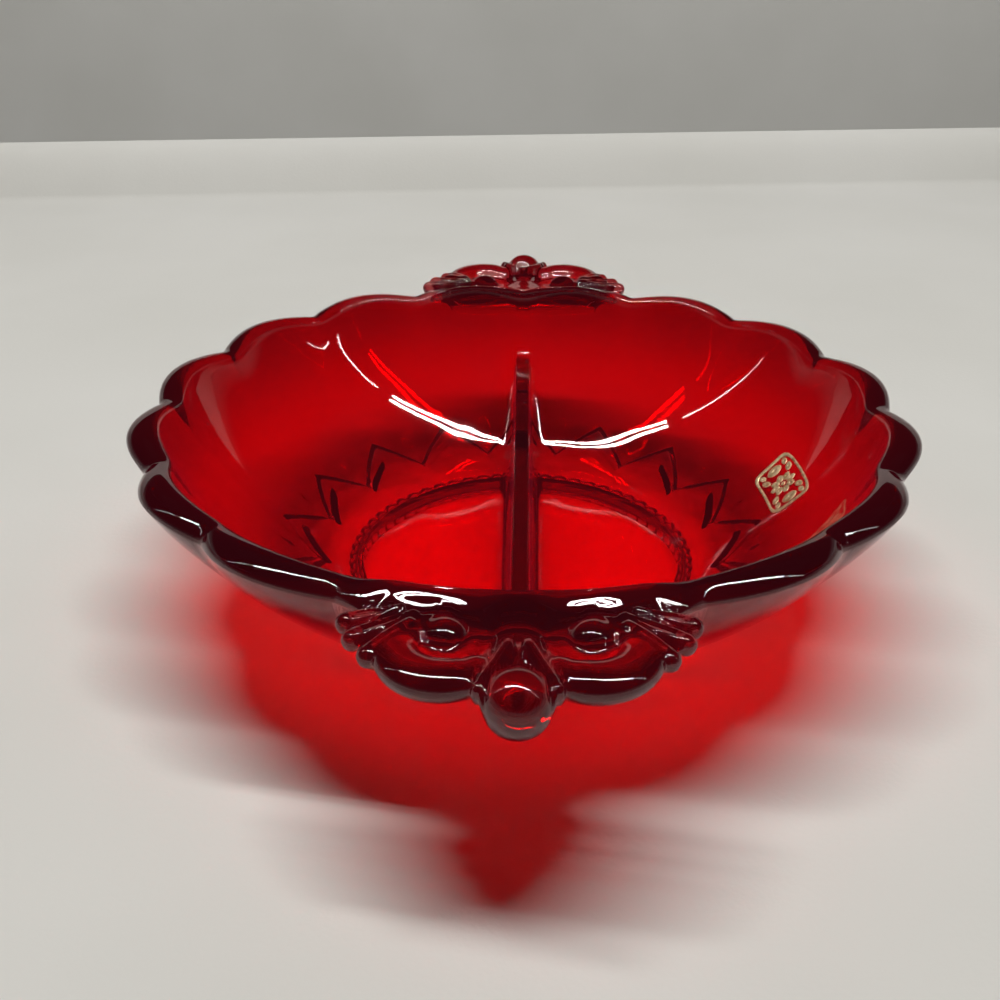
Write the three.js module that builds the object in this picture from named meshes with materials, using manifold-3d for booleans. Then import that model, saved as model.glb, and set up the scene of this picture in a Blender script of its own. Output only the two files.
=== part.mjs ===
// Divided candy dish in pressed ruby glass: a round bowl of sixteen rounded lobes on a notched foot ring,
// a low divider across the middle, a flat scroll handle with a bead at each end, and a foil label inside.
// Millimetres, +Z up. The origin is on the table under the middle of the bowl. The handles lie along Y.

import * as THREE from 'three';
import { mergeVertices } from 'three/addons/utils/BufferGeometryUtils.js';
import Module from 'manifold-3d';

// Driving dimensions: bowl and rim
const fitGap = 0.3; // clearance between neighbouring members
const lobeCount = 16;
const creaseRadius = 73; // bowl axis to the rim in the creases between lobes
const lobeRise = 3.2; // how far a lobe stands out past the creases
const rimHeight = 41; // table to the crest of a lobe
const creaseDrop = 1.6; // how much lower the rim lies in a crease
const lipHeight = 2.4; // rounded lip above the top of the wall
const lipThickness = 4.5; // across the lip in a crease
const innerLobeRise = 1.6; // how far the lobes show on the inner edge of the lip
const wallThickness = 4;
const wallStartAngle = 25; // degrees above level where the wall leaves the floor
const wallEndAngle = 77; // degrees above level where the wall reaches the lip
const wallBend = 13; // length of the easing at both ends of the wall curve

// Driving dimensions: floor, foot and divider
const jointRadius = 38; // bowl axis to the joint of floor and wall
const floorThickness = 4.5;
const footHeight = 2.2;
const footInset = 1.6; // the foot's outer edge lies this far inside the joint
const footWidth = 3;
const footEdge = 0.5; // rounding along the foot's lower edges
const footNotchCount = 60;
const footNotchDepth = 0.9;
const dividerHeight = 17.8; // floor to the top of the divider
const dividerTopWidth = 3.2;
const dividerDraft = 1; // how much wider the divider is at the top of its fillet
const dividerFilletWidth = 3; // reach of the hollow fillet along each side of the base
const dividerFilletHeight = 5;
const dividerEndRise = 2; // the divider sweeps up this far where it meets the wall
const dividerEndRun = 10; // length of that sweep

// Driving dimensions: band of pointed petals outside, in distances up the wall from the joint
const petalTip = 2.8; // lower edge of the raised band, under the middle of a lobe
const petalValley = 8.8; // lower edge of the raised band, under a crease
const bandWidthAtTip = 4;
const bandWidthAtValley = 7.7;
const bandBevel = 1;
const bandRelief = 0.7;

// Driving dimensions: handles, with distances outward counted from the rim's creases
const handleDrop = 2.6; // crest of a lobe to the top of the handle's plate
const handleThickness = 3;
const handleWidth = 42;
const scrollSpacing = 20; // between the middles of the two scrolls
const scrollOut = 10.4;
const scrollPadRadius = 7.8;
const scrollPadEdge = 1.2; // rounding of the pad's edge
const ridgeWidth = 12; // across the scroll between the middles of its ridge
const ridgeLength = 14.4; // the same, along the handle
const ridgeOut = 8.4;
const ridgeRadius = 2.8;
const ridgeLift = 0.5; // middle of the ridge above the plate
const ridgeStart = 200; // degrees, where the ridge leaves the rib
const ridgeTurn = 285; // degrees that the ridge turns round the scroll
const ridgeDraw = 0.35; // how far the ridge's inner end draws in towards the knob, as a share
const ridgeDrawStart = 0.6; // share of the ridge's length where it starts to draw in
const knobOut = 4;
const knobRadius = 2.7;
const leafSpacing = 25; // between the roots of the two leaves
const leafOut = 2.3;
const leafLength = 12.8;
const leafWidth = 5.6;
const leafHeight = 5;
const leafCount = 3;
const leafFirstAngle = -3; // degrees from square to the handle
const leafAngleStep = 26;
const ribRadius = 2.4;
const ribOut = 12;
const calyxSpread = 11.4; // across the two tips of the calyx that cups the bead
const calyxOut = 16.8;
const calyxRadius = 1.2;
const beadRadius = 4.6;
const beadOut = 17.7;
const beadDrop = 0.6; // middle of the bead below the top of the plate

// Driving dimensions: label
const labelWidth = 17;
const labelHeight = 10;
const labelThickness = 0.2;
const labelAngle = 95; // degrees round the bowl from the front handle towards +X
const labelUp = 26; // distance up the wall from the joint to the label's middle

// Fineness of the facets
const stepsPerLobe = 6;
const lipSteps = 5;
const outerWallRows = 5;
const innerWallRows = 7;
const cutterRows = 12;
const dividerSteps = 20;
const dividerArcSteps = 3;
const meetingSteps = 100;
const padSides = 24;
const tubeSides = 8;
const ridgeSteps = 20;
const ballSides = 14;
const ballRows = 9;
const leafSides = 10;
const leafRows = 8;
const labelColumns = 8;
const labelRows = 6;

// Heights and radii that follow from the driving dimensions
const floorUnder = footHeight + fitGap;
const floorTop = floorUnder + floorThickness;
const wallFoot = new THREE.Vector2(jointRadius + fitGap, floorUnder);
const wallHead = new THREE.Vector2(creaseRadius, rimHeight - creaseDrop - lipHeight);
const ringSteps = lobeCount * stepsPerLobe;
const footRadius = jointRadius - footInset;
const handleTop = rimHeight - handleDrop;
const handleMiddle = handleTop - handleThickness / 2;
const mergeTolerance = 1e-4;

const wasm = await Module();
wasm.setup();

const rubyGlass = { color: 0x8c0410, roughness: 0.06, metalness: 0 };
const goldFoil = { color: 0xb08a4a, roughness: 0.35, metalness: 1 };

// Joining and cutting

function solid(geometry) {
  const bare = geometry.clone();
  bare.deleteAttribute('normal');
  bare.deleteAttribute('uv');
  const merged = mergeVertices(bare, mergeTolerance);
  const index = merged.index.array;
  const corners = [];
  for (let k = 0; k < index.length; k += 3) {
    const [a, b, c] = [index[k], index[k + 1], index[k + 2]];
    if (a !== b && b !== c && c !== a) corners.push(a, b, c);
  }
  const vertProperties = new Float32Array(merged.attributes.position.array);
  const triVerts = new Uint32Array(corners);
  return new wasm.Manifold(new wasm.Mesh({ numProp: 3, vertProperties, triVerts }));
}

function geometryOf(body) {
  const mesh = body.getMesh();
  const geometry = new THREE.BufferGeometry();
  geometry.setAttribute('position', new THREE.BufferAttribute(mesh.vertProperties, 3));
  geometry.setIndex(new THREE.BufferAttribute(mesh.triVerts, 1));
  geometry.computeVertexNormals();
  return geometry;
}

function piece(name, body, look) {
  const mesh = new THREE.Mesh(geometryOf(body), new THREE.MeshStandardMaterial(look));
  mesh.name = name;
  return mesh;
}

// The wall in section, at a turn counted from the front handle towards +X

const slope = (degrees) => {
  const angle = THREE.MathUtils.degToRad(degrees);
  return new THREE.Vector2(Math.cos(angle), Math.sin(angle));
};

const wallCurve = new THREE.CubicBezierCurve(
  wallFoot,
  wallFoot.clone().addScaledVector(slope(wallStartAngle), wallBend),
  wallHead.clone().addScaledVector(slope(wallEndAngle), -wallBend),
  wallHead,
);
const wallLength = wallCurve.getLength();

// How the wall changes on its way up, in shares of its length
const floorBlend = 0.35; // the floor's thickness has become the wall's
const lipBlend = 0.78; // the wall starts to thicken towards the lip
const lobeFade = 5; // power by which the lobes die away below the rim

// 0 in a crease, 1 at the middle of a lobe
const lobe = (turn) => Math.abs(Math.sin((lobeCount * turn) / 2));

// 0 under the middle of a lobe, 1 under a crease, straight in between
function zigzag(turn) {
  const lobes = (lobeCount * turn) / (2 * Math.PI);
  return Math.abs(1 - 2 * THREE.MathUtils.euclideanModulo(lobes, 1));
}

function inward(share) {
  const tangent = wallCurve.getTangentAt(share);
  const normal = new THREE.Vector2(-tangent.y, tangent.x);
  const ease = THREE.MathUtils.smoothstep(share, 0, floorBlend);
  return new THREE.Vector2(0, 1).lerp(normal, ease).normalize();
}

function thickness(share) {
  const low = THREE.MathUtils.smoothstep(share, 0, floorBlend);
  const high = THREE.MathUtils.smoothstep(share, lipBlend, 1);
  const wall = THREE.MathUtils.lerp(floorThickness, wallThickness, low);
  return THREE.MathUtils.lerp(wall, lipThickness, high);
}

function outerPoint(share, turn, proud = 0) {
  const point = wallCurve.getPointAt(share).addScaledVector(inward(share), -proud);
  const swell = lobe(turn) * share ** lobeFade;
  return point.add(new THREE.Vector2(lobeRise * swell, creaseDrop * swell));
}

function innerPoint(share, turn, proud = 0) {
  const point = wallCurve.getPointAt(share).addScaledVector(inward(share), thickness(share) + proud);
  const swell = lobe(turn) * share ** lobeFade;
  return point.add(new THREE.Vector2(innerLobeRise * swell, creaseDrop * swell));
}

function lipPoint(sweep, turn) {
  const outer = outerPoint(1, turn);
  const inner = innerPoint(1, turn);
  const middle = outer.clone().add(inner).divideScalar(2);
  const crown = rimHeight - creaseDrop + creaseDrop * lobe(turn) - middle.y;
  const point = middle.clone().addScaledVector(outer.sub(middle), Math.cos(sweep));
  point.y += crown * Math.sin(sweep);
  return point;
}

// Evenly spaced values, both ends included
function shares(from, to, count) {
  return Array.from({ length: count }, (_, k) => THREE.MathUtils.lerp(from, to, k / (count - 1)));
}

// A ring or a full body of revolution whose section changes with the turn: each row gives radius and height
function turnedBody(rows, steps) {
  const blank = rows.map((row) => row(0));
  const geometry = new THREE.LatheGeometry(blank, steps);
  const position = geometry.attributes.position;
  for (let k = 0; k < position.count; k += 1) {
    const turn = (2 * Math.PI * Math.floor(k / rows.length)) / steps;
    const point = rows[k % rows.length](turn);
    position.setXYZ(k, point.x * Math.sin(turn), -point.x * Math.cos(turn), point.y);
  }
  return solid(geometry);
}

const fixed = (radius, height) => () => new THREE.Vector2(radius, height);
const closed = (rows) => [...rows, rows[0]];

function bowlWall() {
  const lower = (turn) => THREE.MathUtils.lerp(petalTip, petalValley, zigzag(turn));
  const width = (turn) => THREE.MathUtils.lerp(bandWidthAtTip, bandWidthAtValley, zigzag(turn));
  const bandTop = petalValley + bandWidthAtValley;
  const bandRow = (across, proud) => (turn) => {
    const share = (lower(turn) + across(turn)) / wallLength;
    return outerPoint(share, turn, proud);
  };
  const bandRows = [
    bandRow(() => 0, 0),
    bandRow(() => bandBevel, bandRelief),
    bandRow((turn) => width(turn) - bandBevel, bandRelief),
    bandRow(width, 0),
  ];
  const outerShares = shares(bandTop / wallLength, 1, outerWallRows + 1).slice(1);
  const outerRows = outerShares.map((share) => (turn) => outerPoint(share, turn));
  const sweeps = shares(0, Math.PI, lipSteps + 2).slice(1, -1);
  const lipRows = sweeps.map((sweep) => (turn) => lipPoint(sweep, turn));
  const innerRows = shares(1, 0, innerWallRows).map((share) => (turn) => innerPoint(share, turn));
  const foot = (turn) => outerPoint(0, turn);
  return turnedBody(closed([foot, ...bandRows, ...outerRows, ...lipRows, ...innerRows]), ringSteps);
}

// Everything inside the bowl's outer surface, grown by the fit: what a handle is cut back to
function bowlEnvelope() {
  const clearTop = 2 * rimHeight;
  const wallRows = shares(0, 1, cutterRows).map((share) => (turn) => outerPoint(share, turn, fitGap));
  const edge = (turn) => new THREE.Vector2(outerPoint(1, turn, fitGap).x, clearTop);
  const rows = [fixed(0, floorUnder), ...wallRows, edge, fixed(0, clearTop)];
  return turnedBody(rows, ringSteps);
}

// The space inside the bowl, shrunk by the fit: what the divider is cut back to
function bowlSpace() {
  const wallShares = shares(0, 1, cutterRows).slice(1);
  const wallRows = wallShares.map((share) => (turn) => innerPoint(share, turn, fitGap));
  const edge = (turn) => new THREE.Vector2(innerPoint(1, turn, fitGap).x, rimHeight);
  const floorLevel = floorTop + fitGap;
  const floorEdge = (turn) => new THREE.Vector2(innerPoint(0, turn).x, floorLevel);
  const rows = [fixed(0, floorLevel), floorEdge, ...wallRows, edge, fixed(0, rimHeight)];
  return turnedBody(rows, ringSteps);
}

function floorDisc() {
  const rows = [
    fixed(0, floorUnder),
    fixed(jointRadius, floorUnder),
    fixed(jointRadius, floorTop),
    fixed(0, floorTop),
  ];
  return turnedBody(rows, ringSteps);
}

function footRing() {
  const notch = (turn) => footNotchDepth * Math.abs(Math.sin((footNotchCount * turn) / 2));
  const inner = footRadius - footWidth;
  const root = footRadius - footNotchDepth;
  const outerRow = (height) => (turn) => new THREE.Vector2(root + notch(turn), height);
  const rows = [
    fixed(inner, 0),
    fixed(root - footEdge, 0),
    outerRow(footEdge),
    outerRow(footHeight),
    fixed(inner, footHeight),
  ];
  return turnedBody(closed(rows), footNotchCount * 2);
}

function divider() {
  const half = dividerTopWidth / 2;
  const flank = half + dividerDraft / 2;
  const base = flank + dividerFilletWidth;
  const shoulder = dividerHeight - half;
  const section = new THREE.Shape();
  section.moveTo(-base, 0);
  section.lineTo(base, 0);
  section.quadraticCurveTo(flank, 0, flank, dividerFilletHeight);
  section.lineTo(half, shoulder);
  section.absarc(0, shoulder, half, 0, Math.PI);
  section.lineTo(-flank, dividerFilletHeight);
  section.quadraticCurveTo(-flank, 0, -base, 0);
  const reach = creaseRadius;
  const geometry = new THREE.ExtrudeGeometry(section, {
    depth: 2 * reach,
    steps: dividerSteps,
    curveSegments: dividerArcSteps,
    bevelEnabled: false,
  });
  geometry.rotateX(Math.PI / 2);
  geometry.translate(0, reach, floorTop);
  const top = floorTop + dividerHeight;
  const meeting = shares(0, 1, meetingSteps).find((share) => innerPoint(share, 0).y > top);
  const end = innerPoint(meeting, 0).x;
  const position = geometry.attributes.position;
  for (let k = 0; k < position.count; k += 1) {
    const height = position.getZ(k) - floorTop;
    const along = (Math.abs(position.getY(k)) - end + dividerEndRun) / dividerEndRun;
    const sweep = 1 + (dividerEndRise / dividerHeight) * Math.max(along, 0) ** 2;
    position.setZ(k, floorTop + height * sweep);
  }
  return solid(geometry).intersect(bowlSpace());
}

// Handle members, drawn for the back handle, with the handle running out along +Y

const out = (distance) => creaseRadius + distance;

function plate() {
  const inner = out(-lipThickness - lobeRise);
  const outer = out(scrollOut);
  const outline = new THREE.Shape();
  outline.moveTo(-handleWidth / 2, inner);
  outline.lineTo(handleWidth / 2, inner);
  outline.lineTo(handleWidth / 2, out(leafOut));
  outline.lineTo(scrollSpacing / 2, outer);
  outline.lineTo(0, out(calyxOut));
  outline.lineTo(-scrollSpacing / 2, outer);
  outline.lineTo(-handleWidth / 2, out(leafOut));
  const geometry = new THREE.ExtrudeGeometry(outline, { depth: handleThickness, bevelEnabled: false });
  geometry.translate(0, 0, handleTop - handleThickness);
  return solid(geometry);
}

function scrollPad(side) {
  const half = handleThickness / 2;
  const profile = [
    new THREE.Vector2(0, -half),
    new THREE.Vector2(scrollPadRadius - scrollPadEdge, -half),
    new THREE.Vector2(scrollPadRadius, scrollPadEdge - half),
    new THREE.Vector2(scrollPadRadius, half - scrollPadEdge),
    new THREE.Vector2(scrollPadRadius - scrollPadEdge, half),
    new THREE.Vector2(0, half),
  ];
  const geometry = new THREE.LatheGeometry(profile, padSides);
  geometry.rotateX(Math.PI / 2);
  geometry.translate((side * scrollSpacing) / 2, out(scrollOut), handleMiddle);
  return solid(geometry);
}

// The C-shaped ridge: from the rib by the centre line, out round the end of the scroll, and back to the knob
class ScrollLine extends THREE.Curve {
  constructor(side) {
    super();
    this.side = side;
  }

  getPoint(share, target = new THREE.Vector3()) {
    const angle = THREE.MathUtils.degToRad(ridgeStart - ridgeTurn * share);
    const draw = 1 - ridgeDraw * THREE.MathUtils.smoothstep(share, ridgeDrawStart, 1);
    const across = scrollSpacing / 2 + (ridgeWidth / 2) * draw * Math.cos(angle);
    const along = out(ridgeOut) + (ridgeLength / 2) * draw * Math.sin(angle);
    return target.set(this.side * across, along, handleTop + ridgeLift);
  }
}

function tube(path, radius, steps) {
  const section = new THREE.Shape();
  section.absarc(0, 0, radius, 0, 2 * Math.PI);
  const curveSegments = tubeSides / 2;
  return solid(new THREE.ExtrudeGeometry(section, { extrudePath: path, steps, curveSegments }));
}

function ball(radius, across, along, height) {
  const geometry = new THREE.SphereGeometry(radius, ballSides, ballRows);
  geometry.translate(across, along, height);
  return solid(geometry);
}

function leafFinger(side, order) {
  const angle = THREE.MathUtils.degToRad(leafFirstAngle + leafAngleStep * order);
  const geometry = new THREE.SphereGeometry(1, leafSides, leafRows);
  geometry.scale(leafLength / 2, leafWidth / 2, leafHeight / 2);
  geometry.translate(leafLength / 2, 0, 0);
  geometry.rotateZ(side > 0 ? angle : Math.PI - angle);
  geometry.translate((side * leafSpacing) / 2, out(leafOut), handleTop);
  return solid(geometry);
}

function straightTube(from, to, radius) {
  return tube(new THREE.LineCurve3(from, to), radius, 1);
}

function beadAt(radius) {
  return ball(radius, 0, out(beadOut), handleTop - beadDrop);
}

function handle() {
  const ribStart = new THREE.Vector3(0, out(-lipThickness), handleTop);
  const ribEnd = new THREE.Vector3(0, out(ribOut), handleTop);
  const rib = straightTube(ribStart, ribEnd, ribRadius);
  const ribHead = ball(ribRadius, 0, out(ribOut), handleTop);
  const members = [plate(), rib, ribHead];
  for (const side of [-1, 1]) {
    const calyxTip = new THREE.Vector3((side * calyxSpread) / 2, out(calyxOut), handleTop + calyxRadius);
    members.push(scrollPad(side));
    members.push(tube(new ScrollLine(side), ridgeRadius, ridgeSteps));
    members.push(ball(knobRadius, (side * scrollSpacing) / 2, out(knobOut), handleTop));
    members.push(straightTube(ribEnd, calyxTip, calyxRadius));
    members.push(ball(calyxRadius, calyxTip.x, calyxTip.y, calyxTip.z));
    for (let order = 0; order < leafCount; order += 1) {
      members.push(leafFinger(side, order));
    }
  }
  const joined = members.reduce((all, member) => all.add(member));
  return joined.subtract(beadAt(beadRadius + fitGap)).subtract(bowlEnvelope());
}

// A thin patch that follows the inner wall
function foilLabel() {
  const geometry = new THREE.BoxGeometry(labelWidth, labelHeight, labelThickness, labelColumns, labelRows);
  const middle = THREE.MathUtils.degToRad(labelAngle);
  const radius = innerPoint(labelUp / wallLength, middle).x;
  const position = geometry.attributes.position;
  for (let k = 0; k < position.count; k += 1) {
    const turn = middle + position.getX(k) / radius;
    const share = (labelUp + position.getY(k)) / wallLength;
    const point = innerPoint(share, turn, fitGap + labelThickness / 2 - position.getZ(k));
    position.setXYZ(k, point.x * Math.sin(turn), -point.x * Math.cos(turn), point.y);
  }
  return solid(geometry);
}

const dish = new THREE.Group();
dish.add(piece('bowl_wall', bowlWall(), rubyGlass));
dish.add(piece('floor_disc', floorDisc(), rubyGlass));
dish.add(piece('foot_ring', footRing(), rubyGlass));
dish.add(piece('divider', divider(), rubyGlass));
dish.add(piece('foil_label', foilLabel(), goldFoil));

for (const [end, heading] of [['back', 0], ['front', Math.PI]]) {
  const group = new THREE.Group();
  group.rotation.z = heading;
  group.add(piece(`${end}_handle`, handle(), rubyGlass));
  group.add(piece(`${end}_bead`, beadAt(beadRadius), rubyGlass));
  dish.add(group);
}

export default dish;
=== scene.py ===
# %% [markdown]
# A divided candy dish in ruby pressed glass.
# The real dish is one pressing: a mould and a plunger shape the bowl, the divider, the foot and both handles at
# once, so light runs through them without a seam. The solids of the frame are split at those members. Here they
# are drawn as one closed skin, because a gap inside clear glass would show as a dark line.
# Lengths below are in millimetres, as in the frame's drawing, and become metres when a mesh is made.

# %% Load the frame
import bpy
import numpy as np
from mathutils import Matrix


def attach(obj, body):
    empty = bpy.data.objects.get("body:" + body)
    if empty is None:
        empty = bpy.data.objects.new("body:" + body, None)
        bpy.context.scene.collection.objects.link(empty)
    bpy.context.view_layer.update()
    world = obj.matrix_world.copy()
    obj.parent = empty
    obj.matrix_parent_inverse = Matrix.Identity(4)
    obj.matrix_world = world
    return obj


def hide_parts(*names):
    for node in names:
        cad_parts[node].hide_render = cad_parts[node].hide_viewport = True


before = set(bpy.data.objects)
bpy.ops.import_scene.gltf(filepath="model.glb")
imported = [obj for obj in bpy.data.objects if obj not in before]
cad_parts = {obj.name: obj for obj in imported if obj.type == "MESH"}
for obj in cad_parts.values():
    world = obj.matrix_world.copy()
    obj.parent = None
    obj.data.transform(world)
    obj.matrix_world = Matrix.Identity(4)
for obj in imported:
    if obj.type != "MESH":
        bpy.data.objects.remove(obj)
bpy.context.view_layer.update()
MM = 0.001
print("frame pieces:", len(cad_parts))

# %% [markdown]
# The bowl in section.
# The wall of the bowl is a soft S: it leaves the foot at a low angle and ends nearly upright under the lip. A mould
# maker would draw the outside as a spline with a slope at each end, and so does this cell, as one Bezier curve. The
# inside is pressed by a plunger and is drawn from its slope, because the slope is what a glossy wall shows: each line
# of light on it marks one slope. The sixteen lobes swell the wall near the rim and die away quickly below it.

# %% Sizes of the bowl
LOBES = 16
CREASE_RADIUS = 73.0
LOBE_RISE = 3.2
INNER_LOBE_RISE = 1.6
RIM_HEIGHT = 41.0
CREASE_DROP = 1.6
LIP_HEIGHT = 2.4
LIP_THICKNESS = 5.0
WALL_ANGLES = np.radians([25.0, 77.0])
WALL_BEND = 13.0
JOINT_RADIUS = 38.3
WALL_FOOT = 2.5
FLOOR_TOP = 6.7
FLOOR_UNDER = 3.1
LOBE_FADE = 5.0
LOBE_SOFT = 0.3
WALL_TURNED = 0.35


def ease(x, low, high):
    """Rises from 0 at low to 1 at high along 3t^2 - 2t^3, level at both ends."""
    t = np.clip((x - low) / (high - low), 0.0, 1.0)
    return t * t * (3.0 - 2.0 * t)


def mix(a, b, share):
    """The value that lies the given share of the way from a to b."""
    return a + (b - a) * share


def lobe(turn):
    """0 in a crease of the rim and 1 at the middle of a lobe: the height of a sine wave without its sign."""
    return np.abs(np.sin(LOBES * turn / 2.0))


def soft_lobe(turn):
    """The same wave with its creases rounded out: the root of the square plus a little, stretched back to 0 and 1."""
    return (np.sqrt(lobe(turn) ** 2 + LOBE_SOFT**2) - LOBE_SOFT) / (np.sqrt(1 + LOBE_SOFT**2) - LOBE_SOFT)


print("lobes round the rim:", LOBES)

# %% The wall curve, measured by its own length
def wall_table(steps=1201):
    """A cubic Bezier from the foot to the lip: radius, height, slope angle and length run so far, at many steps."""
    foot = np.array([JOINT_RADIUS, WALL_FOOT])
    head = np.array([CREASE_RADIUS, RIM_HEIGHT - CREASE_DROP - LIP_HEIGHT])
    leave, arrive = (np.array([np.cos(a), np.sin(a)]) * WALL_BEND for a in WALL_ANGLES)
    t = np.linspace(0.0, 1.0, steps)[:, None]
    a, b, c, d = foot, foot + leave, head - arrive, head
    curve = a * (1 - t) ** 3 + b * 3 * t * (1 - t) ** 2 + c * 3 * t**2 * (1 - t) + d * t**3
    slope = (b - a) * (1 - t) ** 2 + (c - b) * 2 * t * (1 - t) + (d - c) * t**2
    run = np.concatenate([[0.0], np.cumsum(np.hypot(*np.diff(curve, axis=0).T))])
    return curve[:, 0], curve[:, 1], np.arctan2(slope[:, 1], slope[:, 0]), run


WALL_R, WALL_Z, WALL_SLOPE, WALL_RUN = wall_table()
WALL_LENGTH = WALL_RUN[-1]


def wall_at(share):
    """Radius, height and inward direction at a share of the wall's length. Inward turns from upright to square."""
    run = np.asarray(share) * WALL_LENGTH
    radius, height, slope = (np.interp(run, WALL_RUN, row) for row in (WALL_R, WALL_Z, WALL_SLOPE))
    turned = ease(share, 0.0, WALL_TURNED)
    inward_r = -np.sin(slope) * turned
    inward_z = mix(1.0, np.cos(slope), turned)
    size = np.hypot(inward_r, inward_z)
    return radius, height, inward_r / size, inward_z / size


def outer_wall(share, turn, proud=0.0):
    """The outside of the wall: the curve, pushed out by proud, plus the swell of the lobes by the fifth power."""
    radius, height, inward_r, inward_z = wall_at(share)
    swell = lobe(turn) * np.asarray(share) ** LOBE_FADE
    return radius - inward_r * proud + LOBE_RISE * swell, height - inward_z * proud + CREASE_DROP * swell


print(f"wall length {WALL_LENGTH:.1f} mm")

# %% The inside of the wall, from its slope
SLOPE_PLACE = (0.0, 34.5, 38.0, 41.0, 44.0, 49.4, 53.6, 58.8, 62.6, 66.0, 69.0)
SLOPE_ANGLE = (0.0, 0.0, 14.0, 28.0, 33.4, 37.0, 41.6, 48.1, 53.5, 61.0, 75.0)


def inside_table(steps=3001, smoothing=181):
    """Share of the length, radius, height and slope from the middle of the floor to the lip. The slope is evened out
    by a running mean and added up, and the rise is fitted to the height of the lip."""
    top_r = CREASE_RADIUS - LIP_THICKNESS * np.sin(WALL_ANGLES[1])
    top_z = RIM_HEIGHT - CREASE_DROP - LIP_HEIGHT + LIP_THICKNESS * np.cos(WALL_ANGLES[1])
    radius = np.linspace(0.0, top_r, steps)
    slope = np.radians(np.interp(radius, SLOPE_PLACE, SLOPE_ANGLE))
    window = np.hanning(smoothing)
    pad = len(window) // 2
    slope = np.convolve(np.pad(slope, pad, "edge"), window / window.sum(), "valid")
    rise = np.concatenate([[0.0], np.cumsum(np.tan((slope[1:] + slope[:-1]) / 2) * np.diff(radius))])
    height = FLOOR_TOP + (top_z - FLOOR_TOP) * rise / rise[-1]
    run = np.concatenate([[0.0], np.cumsum(np.hypot(np.diff(radius), np.diff(height)))])
    return run / run[-1], radius, height, slope, run[-1]


IN_SHARE, IN_R, IN_Z, IN_SLOPE, SHEET_SCALE = inside_table()
FLOOR_SHARE = JOINT_RADIUS / SHEET_SCALE


def inside_at(reach, turn):
    """Radius and height of the inside at a share of the way from the middle to the lip, with the lobes' swell."""
    up = np.clip((np.asarray(reach) - FLOOR_SHARE) / (1 - FLOOR_SHARE), 0.0, 1.0)
    swell = soft_lobe(turn) * up**LOBE_FADE
    return (np.interp(reach, IN_SHARE, IN_R) + INNER_LOBE_RISE * swell,
            np.interp(reach, IN_SHARE, IN_Z) + CREASE_DROP * swell)


print(f"inside: {SHEET_SCALE:.1f} mm along the glass from the middle to the lip")

# %% [markdown]
# Lines of the grid.
# A round bowl is usually turned as rings and spokes, but the divider runs straight across it, and spokes would cut
# its faces at every angle. So the inside is a square sheet of lines, bent until its edge is the rim: its middle lines
# lie along the divider. Outside the rim each edge point of the sheet carries on as a spoke.
# The lines are closest along the divider and towards the handles, where the shapes are smallest.

# %% Section of the divider and the lines across the bowl
DIVIDER_HEIGHT = 17.8
DIVIDER_TOP = FLOOR_TOP + DIVIDER_HEIGHT
DIVIDER_HALF = 1.6
DIVIDER_EDGE = 0.45
DIVIDER_FLANK = 2.1
DIVIDER_FILLET = 3.0
DIVIDER_FILLET_HEIGHT = 5.0
DIVIDER_MEETS = 62.8
DIVIDER_END_RUN = 10.0
DIVIDER_END_RISE = 2.0
LINE_TURNS = np.radians([8.0, 15.5, 22.5, 45.0])
LINE_COUNTS = (18, 48, 8, 18)
ALONG_COUNT = 73


def divider_section(edge_steps=3, flank_steps=5, fillet_steps=8):
    """Half of the divider in section: a flat top, a quarter circle at its edge, a drafted flank, and a hollow quarter
    ellipse at the base. Gives distances from the middle, and heights as shares of the full height."""
    flat = DIVIDER_HALF - DIVIDER_EDGE
    a = np.linspace(0.0, np.pi / 2, edge_steps + 1)
    edge = np.stack([flat + DIVIDER_EDGE * np.sin(a), DIVIDER_HEIGHT - DIVIDER_EDGE * (1 - np.cos(a))], 1)
    top = np.concatenate([[[0.0, DIVIDER_HEIGHT], [flat / 2, DIVIDER_HEIGHT]], edge])
    b = np.linspace(0.0, 1.0, flank_steps + 1)[1:]
    flank = np.stack([mix(DIVIDER_HALF, DIVIDER_FLANK, b), mix(top[-1, 1], DIVIDER_FILLET_HEIGHT, b)], 1)
    c = np.linspace(0.0, np.pi / 2, fillet_steps + 1)[1:]
    fillet = np.stack([
        DIVIDER_FLANK + DIVIDER_FILLET * (1 - np.cos(c)),
        DIVIDER_FILLET_HEIGHT * (1 - np.sin(c)),
    ], 1)
    across, height = np.concatenate([top, flank, fillet]).T
    return across, height / DIVIDER_HEIGHT


section_x, section_h = divider_section()
zone = section_x[-1] / SHEET_SCALE
zone_turn = np.arcsin(zone / np.sqrt(2))
starts = np.concatenate([[zone_turn], LINE_TURNS[:-1]])
beyond_zone = np.concatenate([
    np.linspace(a, b, n + 1)[1:] for a, b, n in zip(starts, LINE_TURNS, LINE_COUNTS)
])
half_lines = np.concatenate([section_x / SHEET_SCALE, np.sqrt(2) * np.sin(beyond_zone)])
across_lines = np.concatenate([-half_lines[:0:-1], half_lines])
half_heights = np.concatenate([section_h, np.zeros(len(beyond_zone))])
line_heights = np.concatenate([half_heights[:0:-1], half_heights])
along_lines = np.sqrt(2) * np.sin(np.linspace(-np.pi / 4, np.pi / 4, ALONG_COUNT))
print("lines across and along:", len(across_lines), len(along_lines))

# %% [markdown]
# The inside of the dish.
# The floor, the inner wall and the divider are pressed by one plunger, so they meet in soft hollow corners.
# Each point of the sheet gets a distance from the middle and a turn. The distance gives its place on the floor or up
# the wall. On the lines along the middle, the divider then lifts the surface by its section, and where the wall
# stands higher than the divider, the lift fades to nothing.

# %% The inside as a bent square sheet
STRAIGHT_ZONES = 3.5
STRAIGHT_END = 67.5
LIFT_END = 1.6
LIFT_SOFT = 1.4
NO_LIFT = -20.0


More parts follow.
